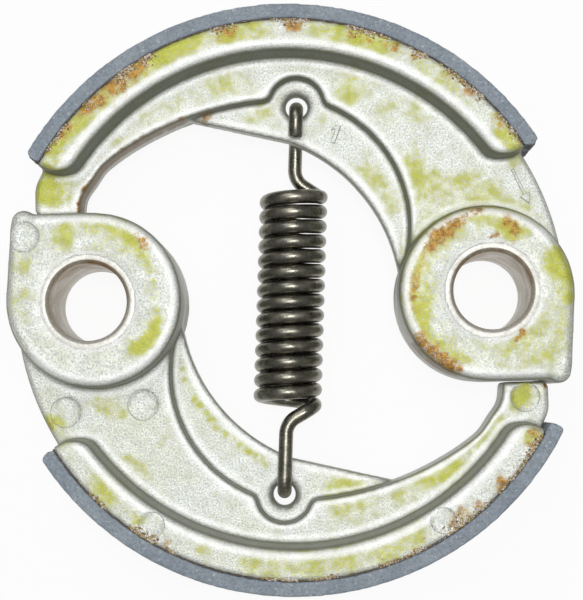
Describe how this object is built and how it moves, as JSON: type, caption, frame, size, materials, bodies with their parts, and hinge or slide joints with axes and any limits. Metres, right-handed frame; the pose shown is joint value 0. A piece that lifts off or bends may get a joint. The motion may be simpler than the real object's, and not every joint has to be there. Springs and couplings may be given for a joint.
{
  "type": "centrifugal clutch",
  "caption": "Centrifugal clutch of paired cast pivoting shoes with bonded curved friction linings, drawn together by a central tension coil spring.",
  "frame": {"origin": "midway between the two pivot bores, level with the underside of the pivot eyes", "axes": "+X from the lower shoe's pivot to the upper shoe's pivot, +Y towards the upper shoe's lining, +Z along the pivot axes towards the pictured face"},
  "size_m": [0.073, 0.077, 0.015],
  "materials": {
    "cast_alloy": "die-cast, dull, with patches of yellow chromate",
    "friction_lining": "resin-bonded friction material, fine speckle, sawn ends",
    "spring_steel": "oil-blackened spring wire"
  },
  "bodies": {
    "spring": {"tension_spring": "spring_steel"},
    "upper": {"upper_shoe": "cast_alloy", "upper_lining": "friction_lining"},
    "lower": {"lower_shoe": "cast_alloy", "lower_lining": "friction_lining"}
  },
  "joints": [
    {"name": "upper_swing", "type": "hinge", "parent": "spring", "child": "upper", "pos_m": [0.026, 0, 0.0075], "axis": [0, 0, -1], "range_deg": [0, 3], "stiffness_Nm_per_rad": 10, "springref_deg": -6.88, "deforming": ["tension_spring"]},
    {"name": "lower_swing", "type": "hinge", "parent": "spring", "child": "lower", "pos_m": [-0.026, 0, 0.0075], "axis": [0, 0, -1], "range_deg": [0, 3], "stiffness_Nm_per_rad": 10, "springref_deg": -6.88, "deforming": ["tension_spring"]}
  ],
  "couplings": [
    {"joint": "lower_swing", "follows": "upper_swing", "ratio": 1}
  ]
}
